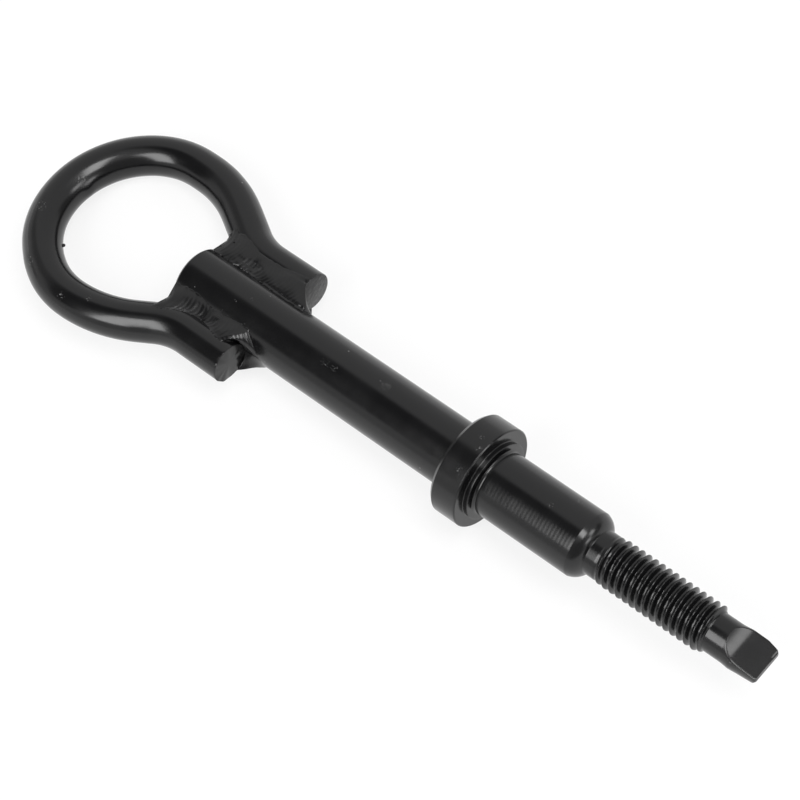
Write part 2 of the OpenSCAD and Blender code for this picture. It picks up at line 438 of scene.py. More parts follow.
def neck_straight(side):
    """Length of the straight stretch between shoulder and neck bend on one side."""
    drop = (SHOULDER_R + NECK_BEND_R) * (1 - math.cos(NECK_ANGLE))
    return (side * EYE_CENTRE[1] + EYE_R - LEG_Y - drop) / math.sin(NECK_ANGLE)


def leg_start_x(side):
    """X where the neck bend runs into the leg."""
    reach = (SHOULDER_R + NECK_BEND_R) * math.sin(NECK_ANGLE)
    return EYE_CENTRE[0] + reach + neck_straight(side) * math.cos(NECK_ANGLE)


def leg_end_x(side):
    """X of the leg's cut end."""
    return leg_start_x(side) + LEG_L


def arc(centre, radius, start, stop):
    """Stations (x, y, heading) along an arc, from one angle to another, in radians."""
    steps = math.ceil(abs(stop - start) * radius / BAR_STEP)
    turn = math.copysign(math.pi / 2, stop - start)
    angles = np.linspace(start, stop, steps + 1)
    return [(centre[0] + radius * math.cos(a), centre[1] + radius * math.sin(a), a + turn) for a in angles]


def straight(start, stop, heading):
    """Stations between two points, without the first."""
    steps = max(1, math.ceil(math.dist(start, stop) / BAR_STEP))
    shares = np.arange(1, steps + 1) / steps
    return [
        (start[0] + (stop[0] - start[0]) * t, start[1] + (stop[1] - start[1]) * t, heading)
        for t in shares
    ]


def side_stations(side):
    """Centreline on one side, from the round end to the leg's end, drawn as the left one."""
    quarter = math.pi / 2
    shoulder = arc(
        (EYE_CENTRE[0], side * EYE_CENTRE[1] + EYE_R - SHOULDER_R),
        SHOULDER_R,
        quarter,
        quarter - NECK_ANGLE,
    )
    bend = arc(
        (leg_start_x(side), LEG_Y + NECK_BEND_R),
        NECK_BEND_R,
        3 * quarter - NECK_ANGLE,
        3 * quarter,
    )
    leg = straight(bend[-1][:2], (leg_end_x(side), LEG_Y), 0.0)
    return shoulder + straight(shoulder[-1][:2], bend[0][:2], -NECK_ANGLE)[:-1] + bend + leg


def loop_stations():
    """The whole centreline, from the left leg's end round the eye to the right leg's end."""
    left = [(x, y, h + math.pi) for x, y, h in side_stations(LEFT)[:0:-1]]
    right = [(x, -y, -h) for x, y, h in side_stations(RIGHT)[1:]]
    stations = np.array(left + arc(EYE_CENTRE, EYE_R, math.pi / 2, 3 * math.pi / 2) + right)
    x, y = stations[:, 0], stations[:, 1]
    around = np.degrees(np.arctan2(y - EYE_CENTRE[1], x - EYE_CENTRE[0])) % 360
    out = np.interp(around, *np.array(OUT_OF_ROUND).T)
    stations[:, 0] += out * np.cos(np.radians(around))
    stations[:, 1] += out * np.sin(np.radians(around))
    return stations


def bar_rings(stations):
    """Rings around the bar with worn, softened ends."""
    x, y, heading = stations.T
    direction = np.stack([np.cos(heading), np.sin(heading)], -1)
    xy = np.stack([x, y], -1)
    first = [xy[0] + direction[0] * e for e in RIM_PLACES]
    last = [xy[-1] - direction[-1] * e for e in RIM_PLACES[::-1]]
    xy = np.concatenate([first, xy[1:-1], last])
    heading = np.concatenate([[heading[0]] * 3, heading[1:-1], [heading[-1]] * 3])
    radius = np.full(len(xy), BAR_R)
    radius[:3] -= RIM_INSETS
    radius[-3:] -= RIM_INSETS[::-1]
    a = np.linspace(0, math.tau, BAR_SEGMENTS, endpoint=False)
    side = radius[:, None] * np.cos(a)
    up = radius[:, None] * np.sin(a)
    px = xy[:, :1] - side * np.sin(heading)[:, None]
    py = xy[:, 1:] + side * np.cos(heading)[:, None]
    rings = np.stack([px, py, EYE_CENTRE[2] + up], -1)
    centre = np.concatenate([xy, np.full((len(xy), 1), EYE_CENTRE[2])], -1)[:, None]
    out = (rings - centre) / radius[:, None, None]
    for place, size, height in DENTS:
        far = np.linalg.norm(rings - place, axis=-1, keepdims=True) / size
        rings = rings + out * height * np.exp(-(far**2))
    # The right leg's end is rough-cut, so its rim is uneven and drawn back a little
    last = rings[-4:]
    bumps = [noise.noise(Vector(point) / CUT_BUMP_SIZE) for point in last.reshape(-1, 3)]
    bumps = np.array(bumps).reshape(4, BAR_SEGMENTS, 1) * np.array([0.0, 0.5, 1.0, 1.0])[:, None, None]
    last += CUT_BUMP_OUT * bumps * out[-4:]
    drawn_back = np.array([0.3, 0.7, 1.0])[:, None, None]
    last[1:, :, :1] += CUT_BUMP_ALONG * bumps[1:] - CUT_BUMP_ALONG * drawn_back
    return rings


# Weld beads


def bar_line_y(side, x, inside):
    """Y at x of the line that runs a distance inside the bar's centreline, as the left one."""
    turn_r = NECK_BEND_R + inside
    back = np.maximum(leg_start_x(side) - x, 0)
    run = np.minimum(back, turn_r * math.sin(NECK_ANGLE))
    return LEG_Y + NECK_BEND_R - np.sqrt(turn_r**2 - run**2) + (back - run) * math.tan(NECK_ANGLE)


# Each bead: its side and level; toe on the shank and toe on the bar, as (x, degrees from the eye's
# plane); hollows in its face, as (x, share of the way across, length, width, depth); the x where
# it stops at the shank and at the bar, the run of its nose at both, how far its inner end is
# scooped, and the height of the flutes in a nose that ends in a crater
BEADS = {
    "weld_left_top": {
        "side": LEFT,
        "level": TOP,
        "shank_toe": [(-126, 30), (-123, 41), (-115, 43), (-109, 38), (-104, 43), (-98, 45), (-84, 46)],
        "bar_toe": [(-126, 52), (-122, 62), (-118, 79), (-107, 80), (-102, 77), (-96, 86), (-90, 94)],
        "hollows": [
            (-109.0, 0.28, 2.0, 0.9, 0.42),
            (-107.3, 0.42, 1.6, 0.7, 0.3),
            (-107.0, 0.97, 1.8, 0.35, 0.35),
            (-96.3, 0.10, 1.6, 0.5, 0.28),
            (-91.1, 0.07, 1.6, 0.5, 0.28),
            (-86.0, 0.07, 2.2, 0.5, 0.3),
            (-90.2, 0.85, 0.9, 0.5, 0.4),
        ],
        "stop": (-83.2, -90.0),
        "nose": (1.2, 0.9),
        "scoop": 2.0,
        "flutes": 0.0,
    },
    "weld_left_bottom": {
        "side": LEFT,
        "level": BOTTOM,
        "shank_toe": [(-126, 38), (-84, 44)],
        "bar_toe": [(-126, 60), (-118, 76), (-90, 78)],
        "hollows": [(-104.0, 0.5, 3.0, 1.5, 0.5)],
        "stop": (-84.0, -89.8),
        "nose": (1.4, 1.0),
        "scoop": 2.0,
        "flutes": 0.0,
    },
    "weld_right_top": {
        "side": RIGHT,
        "level": TOP,
        "shank_toe": [(-125, 43), (-120, 48), (-115, 48), (-110, 42), (-103, 45), (-96, 47), (-85, 43)],
        "bar_toe": [(-126, 70), (-122, 78), (-116, 62), (-111, 54), (-107, 50), (-101, 70), (-92, 88)],
        "hollows": [(-110.0, 0.6, 5.0, 3.2, 1.0), (-90.6, 0.55, 1.0, 1.1, 0.8)],
        "stop": (-86.5, -93.1),
        "nose": (6.5, 4.2),
        "scoop": 3.2,
        "flutes": 0.2,
    },
    "weld_right_bottom": {
        "side": RIGHT,
        "level": BOTTOM,
        "shank_toe": [(-126, 38), (-85, 42)],
        "bar_toe": [(-126, 60), (-118, 74), (-93, 76)],
        "hollows": [(-108.0, 0.5, 3.0, 1.5, 0.5), (-88.0, 0.5, 5.0, 3.0, 0.9)],
        "stop": (-86.0, -93.2),
        "nose": (0.9, 0.6),
        "scoop": 2.6,
        "flutes": 0.0,
    },
}
BEAD_STEP = 0.28
CROWN_STEPS = 48
SEAT_STEPS = 8
NOSE_STEPS = 22
ROOT_GAP = 0.4
BEAD_START_X = BACK_X + 0.6
BEAD_SUNK = 0.05
BEAD_BULGE = 0.5
# Lumps in a bead's face as (size, height), and the share of the face where they fade at each toe
BROAD_LUMPS = (7.0, 0.38)
FINE_LUMPS = (2.6, 0.09)
CALM_AT_SHANK = 0.08
CALM_AT_BAR = 0.25
# Bow of the ripples across a bead, then the flutes in a torn nose; each with its sway as (size,
# amount)
RIPPLE_BOW = 2.0
RIPPLE_SWAY = (6.0, 0.6)
FLUTE_COUNT = 9
FLUTE_SWAY = (3.0, 2.5)
# Wander of the toes as (size, degrees), and how far the face follows it
SHANK_WANDER = ((2.2, 2.2), (0.8, 1.0))
BAR_WANDER = ((2.2, 4.5), (0.8, 1.8))
TOE_REACH = 0.6
# Rolled edge along both toes: its height, the run of its rise and the run of its fall
ROLL_HEIGHT = 0.22
ROLL_RISE = 0.1
ROLL_FALL = 0.4


def bead_rings(bead, ripple_pitch, ripple_height):
    """Rings along one weld bead, with rolled toes, hollows, a scooped start and a rounded nose."""
    side, level = bead["side"], bead["level"]
    lift = level * EYE_CENTRE[2]
    shank_stop, bar_stop = bead["stop"]
    length = shank_stop - BEAD_START_X
    nose_from = 1 - max(bead["nose"]) / length
    u = np.linspace(0, nose_from, math.ceil(length / BEAD_STEP))
    turn = np.sin(np.linspace(0, math.pi / 2, NOSE_STEPS + 1)[1:])
    u = np.concatenate([u, nose_from + (1 - nose_from) * turn])[:, None]
    t = np.linspace(0, 1, CROWN_STEPS + 1)[None, :]
    web = bead["scoop"] * 4 * t * (1 - t)
    ease = smooth(t) if level == TOP else t**1.1
    stop = shank_stop + (bar_stop - shank_stop) * ease
    x = BEAD_START_X + web + u * (stop - BEAD_START_X - web)
    seed = 7.0 * side + 3.0 * level

    def rough(scale, offset, grid=x):
        across = np.broadcast_to(t if grid is x else 0.0, grid.shape)
        flat = [
            noise.noise(Vector((px / scale, py * 8 / scale + offset, seed)))
            for px, py in zip(grid.ravel(), across.ravel())
        ]
        return np.array(flat).reshape(grid.shape)

    def wander(steps, offset, grid):
        parts = [degrees * rough(size, offset + 10 * k, grid) for k, (size, degrees) in enumerate(steps)]
        return np.radians(sum(parts))

    def left_over(stop_x, at, run):
        gone = np.clip((at - stop_x + run) / run, 0, 1)
        if bead["flutes"]:
            # A fluted slope, then the steep drop into the crater
            slope, drop = 1 - 0.92 * gone, 0.54 * (2 - 2 * gone) ** 1.6
            return np.maximum(np.where(gone < 0.5, slope, drop), 0.02)
        return np.sqrt(np.maximum(1 - gone**2, 0.0004))

    ax, bx = x[:, :1], x[:, -1:]
    root_z = (lift + ROOT_GAP) / 2
    shank_root, bar_root = math.asin(root_z / SHANK_R), math.asin((root_z - lift) / BAR_R)
    shank_left = left_over(shank_stop, ax, bead["nose"][0])
    bar_left = left_over(bar_stop, bx, bead["nose"][1])
    shank_a = np.radians(np.interp(ax, *np.array(bead["shank_toe"], float).T))
    bar_a = np.radians(np.interp(bx, *np.array(bead["bar_toe"], float).T))
    shank_a = shank_root + (shank_a - shank_root) * shank_left
    bar_a = bar_root + (bar_a - bar_root) * bar_left

    def on_shank(angle):
        y, z = (SHANK_R - BEAD_SUNK) * np.cos(angle), (SHANK_R - BEAD_SUNK) * np.sin(angle)
        return np.stack([np.broadcast_to(ax, y.shape), y, z], -1)

    def on_bar(angle):
        y = bar_line_y(side, bx, (BAR_R - BEAD_SUNK) * np.cos(angle))
        z = lift + (BAR_R - BEAD_SUNK) * np.sin(angle)
        return np.stack([np.broadcast_to(bx, y.shape), y, z], -1)

    # The toes wander, and the face follows them only beside the toe
    a, b = on_shank(shank_a)[:, 0, 1:], on_bar(bar_a)[:, 0, 1:]
    shank_a = shank_a + wander(SHANK_WANDER, 4.0, ax) * shank_left
    bar_a = bar_a + wander(BAR_WANDER, 9.0, bx) * bar_left
    a_off, b_off = on_shank(shank_a)[:, 0, 1:] - a, on_bar(bar_a)[:, 0, 1:] - b
    across = b - a
    width = np.linalg.norm(across, axis=-1, keepdims=True)
    up = np.stack([-across[:, 1], across[:, 0]], -1) / width
    left = shank_left + (bar_left - shank_left) * t
    calm = smooth(t / CALM_AT_SHANK) * smooth((1 - t) / CALM_AT_BAR)
    front = x + RIPPLE_BOW * (2 * t - 1) ** 2 + RIPPLE_SWAY[1] * rough(RIPPLE_SWAY[0], 1.0)
    ripple = ripple_height * np.sin(math.tau * front / ripple_pitch)
    lumps = BROAD_LUMPS[1] * rough(BROAD_LUMPS[0], 2.0) + FINE_LUMPS[1] * rough(FINE_LUMPS[0], 3.0)
    folds = np.sin(math.tau * FLUTE_COUNT * t + FLUTE_SWAY[1] * rough(FLUTE_SWAY[0], 6.0)) - 0.3
    flutes = bead["flutes"] * (1 - left) ** 0.4 * folds
    rise = BEAD_BULGE * 4 * t * (1 - t) + calm * (ripple + lumps + flutes)
    for hx, ht, long, wide, deep in bead["hollows"]:
        stretch = np.where(x < hx, 2.2, 0.8) * long
        far = ((x - hx) / stretch) ** 2 + ((t - ht) * width / wide) ** 2
        rise = rise - deep * np.exp(-far) * smooth(t / 0.03) * smooth((1 - t) / 0.03)
    gap = np.minimum(t, 1 - t) * width
    roll = ROLL_HEIGHT * (1 - np.exp(-gap / ROLL_RISE)) * np.exp(-gap / ROLL_FALL)
    rise = (rise + roll * (0.9 + 0.8 * rough(3.0, 7.0))) * np.minimum(left * 1.2, 1)
    by_shank = np.exp(-t * width / TOE_REACH) * (1 - t)
    by_bar = np.exp(-(1 - t) * width / TOE_REACH) * t
    ways = ((a, 1), (across, t), (up, rise), (a_off, by_shank), (b_off, by_bar))
    crown = [x] + [sum(way[:, k : k + 1] * amount for way, amount in ways) for k in (0, 1)]

    # The seat goes down the bar to the root and up the shank again
    s = np.linspace(0, 1, SEAT_STEPS + 1)[None]
    bar_seat = on_bar(bar_a + (bar_root - bar_a) * s[:, 1:])
    shank_seat = on_shank(shank_root + (shank_a - shank_root) * s[:, :-1])
    rings = np.concatenate([np.stack(crown, -1), bar_seat, shank_seat], 1)
    rings[..., 1] *= side
    rings[..., 2] *= level
    return rings


# Droplets of weld metal stuck beside the beads and inside the eye, as (place, radius)
SPATTER = [
    ((-113.5, -8.05, 7.55), 0.38),
    ((-96.1, -7.6, 8.0), 0.42),
    ((-95.3, -7.1, 8.4), 0.25),
    ((-119.2, -7.9, 7.7), 0.3),
    ((-104.8, -7.4, 8.15), 0.22),
    ((-126.3, 17.6, 3.6), 0.3),
    ((-120.7, 14.6, 7.8), 0.28),
    ((-101.0, 7.6, 7.95), 0.25),
    ((-170.3, -17.4, 0.85), 0.6),
]


def spatter_tree():
    """Geometry nodes that set a droplet on every point, each a little out of round."""
    tree = bpy.data.node_groups.new("Weld spatter", "GeometryNodeTree")
    face = tree.interface
    face.new_socket("Geometry", in_out="INPUT", socket_type="NodeSocketGeometry")
    face.new_socket("Seed", in_out="INPUT", socket_type="NodeSocketInt")
    face.new_socket("Finish", in_out="INPUT", socket_type="NodeSocketMaterial")
    face.new_socket("Geometry", in_out="OUTPUT", socket_type="NodeSocketGeometry")
    given = add(tree, "NodeGroupInput").outputs
    ball = {"Segments": 20, "Rings": 12, "Radius": 1.0}
    drop = add(tree, "GeometryNodeMeshUVSphere", ball).outputs[0]
    named = {"Name": "droplet"}
    size = add(tree, "GeometryNodeInputNamedAttribute", named, data_type="FLOAT").outputs[0]
    vary = add(
        tree,
        "FunctionNodeRandomValue",
        {0: (0.8, 0.8, 0.8), 1: (1.15, 1.15, 1.15), "Seed": given["Seed"]},
        data_type="FLOAT_VECTOR",
    ).outputs[0]
    scale = add(tree, "ShaderNodeVectorMath", {0: vary, "Scale": size}, operation="SCALE").outputs[0]
    points = add(tree, "GeometryNodeMeshToPoints", {"Mesh": given["Geometry"]}).outputs[0]
    placed = add(
        tree,
        "GeometryNodeInstanceOnPoints",
        {"Points": points, "Instance": drop, "Scale": scale},
    ).outputs[0]
    real = add(tree, "GeometryNodeRealizeInstances", {0: placed}).outputs[0]
    dressed = add(tree, "GeometryNodeSetMaterial", {0: real, "Material": given["Finish"]}).outputs[0]
    add(tree, "NodeGroupOutput", {0: dressed})
    return tree


# Finishes

COAT = "#0a0a0b"
KNOCKED_OFF = "#666666"
# Heights of the fine grain on the shank, the bar and the welds, with a broad swell under it. A real
# skin's grain is finer than a pixel here, so it is drawn as coarse as it needs to show.
SHANK_GRAIN = 0.0022
BAR_GRAIN = 0.0045
WELD_GRAIN = 0.008
GRAIN_SIZE = 0.7
SWELL_SIZE = 5.0
SWELL_SHARE = 3.5
# Bare dots all over, about this far apart, with the radii of their edge as shares of that
DOT_SPACING = 9.0
DOT_EDGE = (0.032, 0.018)
# Scraped places break up into chips of this size, where their noise passes this edge
CHIP_SIZE = 0.5
CHIP_EDGE = (0.57, 0.66)
SKIN_DEPTH = 0.02
BARE_DULLER = 0.25
# Patches where the skin is a little glossier or duller, as (size, glossier by, duller by)
GLOSS_PATCHES = (9.0, 0.03, 0.04)
# Turning marks as (pitch, height), and saw marks as (pitch, height, sway, roughness). Real ones are
# a quarter of a millimetre apart, too fine to show, so both are drawn coarser.
TURNING_MARKS = (1.35, 0.002)
SAW_MARKS = (0.55, 0.02, 1.2, 0.25)
# Places where handling has knocked the skin off, as (place, radius)
SHANK_WEAR = [
    ((-63.5, -3.3, 10.5), 1.8),
    ((-59.9, -3.0, 10.6), 1.5),
    ((-42.5, 1.5, 10.9), 2.2),
    ((-102.5, -3.1, 10.5), 0.9),
    ((-98.1, 0.3, 11.0), 0.8),
    ((-2.8, -9.3, 14.6), 1.3),
    ((-1.7, -1.4, 17.2), 1.5),
    ((-4.0, 2.7, 17.1), 1.2),
    ((0.0, 2.5, 16.9), 1.0),
    ((0.0, -8.7, 14.8), 1.0),
    ((24.9, -0.7, 11.0), 1.2),
    ((29.4, 6.2, 9.2), 1.0),
    ((94.8, -6.5, 2.8), 1.1),
    ((92.3, 5.6, 4.8), 0.9),
]
EYE_WEAR = [
    ((-181.1, 2.9, 6.1), 2.2),
    ((-183.3, -13.2, 7.9), 2.4),
    ((-152.3, -34.5, 7.0), 1.8),
    ((-143.4, -30.1, 7.9), 1.5),
    ((-171.5, -30.8, 6.4), 2.4),
]


def coated_steel(name, grain_height, roughness, wear=(), turned=None, sawn_from=None):
    """Black dip coating on steel: a thin glossy skin that follows every ripple under it.

    The eye gets clean, slightly wavy reflections with soft rims, and bare grey specks where the
    skin is knocked off. Turned is the (start, stop) of tool marks along X, and sawn_from the x
    from which the bar's end faces carry saw marks.
    """
    material = bpy.data.materials.new(name)
    material.use_nodes = True
    tree = material.node_tree
    shader = tree.nodes["Principled BSDF"]
    place = add(tree, "ShaderNodeTexCoord").outputs["Object"]
    x, y, _ = add(tree, "ShaderNodeSeparateXYZ", {0: place}).outputs

    def clouds(size, detail=3.0):
        inputs = {"Vector": place, "Scale": 1 / (size * MM), "Detail": detail, "Roughness": 0.55}
        return add(tree, "ShaderNodeTexNoise", inputs).outputs[0]

    # Scraped places, then the bare dots
    worn = 0.0
    for spot, size in wear:
        ends = {0: place, 1: [v * MM for v in spot]}
        far = add(tree, "ShaderNodeVectorMath", ends, operation="DISTANCE").outputs["Value"]
        worn = calc(tree, "MAXIMUM", worn, mapped(tree, far, size * MM, 0.3 * size * MM))
    worn = calc(tree, "MULTIPLY", worn, mapped(tree, clouds(CHIP_SIZE, 4.0), *CHIP_EDGE))
    inputs = {"Vector": place, "Scale": 1 / (DOT_SPACING * MM), "Randomness": 1.0}
    dots = add(tree, "ShaderNodeTexVoronoi", inputs).outputs["Distance"]
    bare = calc(tree, "MAXIMUM", mapped(tree, dots, *DOT_EDGE), worn)
    inputs = {0: bare, 6: (*linear(COAT), 1), 7: (*linear(KNOCKED_OFF), 1)}
    colour = add(tree, "ShaderNodeMix", inputs, data_type="RGBA").outputs[2]
    size, glossier, duller = GLOSS_PATCHES
    rough = mapped(tree, clouds(size, 4.0), 0.3, 0.7, roughness - glossier, roughness + duller)
    rough = calc(tree, "ADD", rough, calc(tree, "MULTIPLY", bare, BARE_DULLER))
    tree.links.new(colour, shader.inputs["Base Color"])
    tree.links.new(rough, shader.inputs["Roughness"])

    height = calc(tree, "MULTIPLY", clouds(GRAIN_SIZE), grain_height * MM)
    swell = calc(tree, "MULTIPLY", clouds(SWELL_SIZE, 2.0), SWELL_SHARE * grain_height * MM)
    height = calc(tree, "ADD", height, swell)
    height = calc(tree, "SUBTRACT", height, calc(tree, "MULTIPLY", bare, SKIN_DEPTH * MM))
    if turned:
        start, stop = turned
        pitch, deep = TURNING_MARKS
        wave = calc(tree, "SINE", calc(tree, "MULTIPLY", x, math.tau / (pitch * MM)))
        rises = mapped(tree, x, start * MM, (start + 1) * MM)
        falls = mapped(tree, x, stop * MM, (stop - 1) * MM)
        wave = calc(tree, "MULTIPLY", wave, calc(tree, "MULTIPLY", rises, falls))
        height = calc(tree, "ADD", height, calc(tree, "MULTIPLY", wave, deep * MM))
    if sawn_from:
        pitch, deep, sway, lumps = SAW_MARKS
        swayed = calc(tree, "ADD", y, calc(tree, "MULTIPLY", clouds(2.0), sway * MM))
        wave = calc(tree, "SINE", calc(tree, "MULTIPLY", swayed, math.tau / (pitch * MM)))
        wave = calc(tree, "MULTIPLY", wave, deep * MM)
        wave = calc(tree, "ADD", wave, calc(tree, "MULTIPLY", clouds(1.6), lumps * MM))
        inside = mapped(tree, x, (sawn_from - 0.4) * MM, (sawn_from - 0.25) * MM)
        height = calc(tree, "ADD", height, calc(tree, "MULTIPLY", wave, inside))
    bump = add(tree, "ShaderNodeBump", {"Strength": 1.0, "Distance": 1.0, "Height": height}).outputs[0]
    tree.links.new(bump, shader.inputs["Normal"])
    return material


def dress(piece, material, slot, *nodes):
    """Give a piece its finish and hang it on the frame in place of the nodes it stands for."""
    piece.data.materials.clear()
    piece.data.materials.append(material)
    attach(piece, "root")
    if nodes:
        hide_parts(*nodes)


class TOWEYE_PG_sizes(bpy.types.PropertyGroup):
    """Sizes of the thread and of the weld ripples"""

    thread_pitch: bpy.props.FloatProperty(
        name="Thread Pitch",
        description="Distance from one crest of the thread to the next",
        default=2.5 * MM,
        unit="LENGTH",
    )
    thread_crest_r: bpy.props.FloatProperty(
        name="Thread Crest Radius",
        description="Radius of the thread's crests",
        default=8.0 * MM,
        unit="LENGTH",
    )
    thread_root_r: bpy.props.FloatProperty(
        name="Thread Root Radius",
        description="Radius of the thread's roots",
        default=6.6 * MM,
        unit="LENGTH",
    )
    thread_crest_x: bpy.props.FloatProperty(
        name="Thread Crest Place",
        description="Distance along the shank to a crest on the left side",
        default=65.59 * MM,
        unit="LENGTH",
    )
    ripple_pitch: bpy.props.FloatProperty(
        name="Weld Ripple Pitch",
        description="Distance between the ripples of the weld beads",
        default=1.5 * MM,
        unit="LENGTH",
    )
    ripple_height: bpy.props.FloatProperty(
        name="Weld Ripple Height",
        description="Height of the weld ripples",
        default=0.02 * MM,
        unit="LENGTH",
    )


class TOWEYE_PG_finish(bpy.types.PropertyGroup):
    """Dullness of the coating"""

    roughness: bpy.props.FloatProperty(
        name="Coating Roughness",
        description="How dull the black coating is",
        default=0.19,
        min=0.0,
        max=1.0,
        subtype="FACTOR",
    )
    weld_roughness: bpy.props.FloatProperty(
        name="Weld Roughness",
        description="How dull the coating is over the welds",
        default=0.24,
        min=0.0,
        max=1.0,
        subtype="FACTOR",
    )


class TOWEYE_OT_shank(bpy.types.Operator):
    """Build the turned shank with its collar, rolled thread and flat blade"""

    bl_idname = "toweye.shank"
    bl_label = "Build Shank"

    def execute(self, context):
        sizes = context.scene.tow_eye_sizes
        roughness = context.scene.tow_eye_finish.roughness
        # Thin skin on turned steel: sharp streaks of light, with faint rings on the guide
        marks = (UNDERCUT_X, GUIDE_END_X)
        name = "black_dip_coated_steel"
        material = coated_steel(name, SHANK_GRAIN, roughness, SHANK_WEAR, turned=marks)
        blank = skin("shank_turned", worn_blade(shank_rings(blank_outline())))
        flip_inside_out(blank)
        start_x, full_from_x, full_to_x, end_x = (x * MM for x in THREAD_FADE)
        values = {
            "Pitch": sizes.thread_pitch,
            "Crest Radius": sizes.thread_crest_r,
            "Root Radius": sizes.thread_root_r,
            "Crest X": sizes.thread_crest_x,
            "Start X": start_x,
            "Full From X": full_from_x,
            "Full To X": full_to_x,
            "End X": end_x,
            "Finish": material,
        }
        piece = through_tree(blank, thread_tree(), values)
        dress(piece, material, "coated_steel", "shank")
        return {"FINISHED"}


class TOWEYE_OT_eye(bpy.types.Operator):
    """Build the eye bent from round bar"""

    bl_idname = "toweye.eye"
    bl_label = "Build Eye"

    def execute(self, context):
        roughness = context.scene.tow_eye_finish.roughness
        # Thicker skin on rolled bar: broad, slightly wavy lights, and cut ends that stay rough
        sawn = leg_end_x(LEFT)
        name = "black_dip_coated_bar"
        material = coated_steel(name, BAR_GRAIN, roughness, EYE_WEAR, sawn_from=sawn)
        piece = skin("eye_bent_bar", bar_rings(loop_stations()))
        flip_inside_out(piece)
        dress(piece, material, "coated_steel", "eye_loop")
        return {"FINISHED"}


class TOWEYE_OT_welds(bpy.types.Operator):
    """Build the four rippled weld beads between the legs and the shank"""

    bl_idname = "toweye.welds"
    bl_label = "Build Welds"

    def execute(self, context):
        sizes = context.scene.tow_eye_sizes
        roughness = context.scene.tow_eye_finish.weld_roughness
        # Skin over rough weld metal: the lights break up into small, duller glints
        material = coated_steel("black_coated_weld", WELD_GRAIN, roughness)
        for node, bead in BEADS.items():
            rings = bead_rings(bead, sizes.ripple_pitch / MM, sizes.ripple_height / MM)
            piece = skin(node + "_bead", rings, sharp=60)
            flip_inside_out(piece)
            dress(piece, material, "coated_weld", node)
        mesh = bpy.data.meshes.new("weld_spatter")
        mesh.from_pydata([[v * MM for v in place] for place, _ in SPATTER], [], [])
        droplet = mesh.attributes.new("droplet", "FLOAT", "POINT")
        droplet.data.foreach_set("value", [radius * MM for _, radius in SPATTER])
        points = bpy.data.objects.new("weld_spatter", mesh)
        context.scene.collection.objects.link(points)
        piece = through_tree(points, spatter_tree(), {"Seed": 3, "Finish": material})
        dress(piece, material, "coated_weld")
        return {"FINISHED"}


class TOWEYE_OT_stage(bpy.types.Operator):
    """Set the pale floor, the soft lights and the camera"""

    bl_idname = "toweye.stage"
    bl_label = "Set Stage"

    def execute(self, context):
        build_floor()
        build_world(context.scene)
        for box in SOFTBOXES:
            build_softbox(*box)
        build_camera(context.scene)
        context.scene.view_settings.view_transform = "Standard"
        return {"FINISHED"}


class TOWEYE_PT_panel(bpy.types.Panel):
    """Lists the steps that build the tow eye"""

    bl_idname = "TOWEYE_PT_panel"
    bl_label = "Tow Eye"
    bl_space_type = "VIEW_3D"
    bl_region_type = "UI"
    bl_category = "Tow Eye"

    def draw(self, context):
        layout = self.layout
        for group in (context.scene.tow_eye_sizes, context.scene.tow_eye_finish):
            for name in group.bl_rna.properties.keys():
                if name not in ("rna_type", "name"):
                    layout.prop(group, name)
        for step in STEPS:
            layout.operator(step.bl_idname)


# Stage

# Floor that the part rests on: its upward normal in the part's own frame, half its width and the
# gap left under the part
FLOOR_NORMAL = (0.0545, -0.1013, 0.9934)
FLOOR_HALF = 3.0
FLOOR_GAP = 0.0002
PAPER = (0.85, 0.85, 0.85, 1)
# Distances from the part's origin over which the paper's glow grows from its least share to all
GLOW_FROM, GLOW_TO = 0.25, 0.8
LEAST_GLOW = 0.8
# Brightness of the floor and of the white tent as the coating sees them
FLOOR_GLOSS_LEVEL = 0.95
TENT_LEVEL = 0.72
# Flags and cards in the tent as (centre, half width, half length, angle of the length, softness,
# level), in degrees: a centre is (from the zenith towards X, from the zenith towards Y)
CARDS = (
    ((-30, -28), 13, 33, -102, 5, 0.08),
    ((-50, -5), 10, 15, 90, 5, 0.4),
    ((-80, -35), 10, 5, 90, 4, 0.3),
    ((50, -50), 30, 30, -45, 8, 0.3),
    ((65, 57), 18, 20, 45, 6, 0.25),
    ((-90, -5), 9, 15, 90, 4, 1.4),
)
# Softboxes as (name, azimuth from X, elevation, half width and half height in degrees, radiance)
SOFTBOXES = (
    ("softbox_over_tip", -2.0, 66.0, (10.0, 18.0), 7.0),
    ("softbox_right", -96.5, 41.0, (11.0, 20.0), 6.0),
    ("card_tip_left", 23.0, 29.0, (8.0, 8.0), 4.5),
    ("card_tip_low", 3.0, 15.0, (8.0, 6.0), 4.0),
)
LIGHT_DISTANCE = 1.35


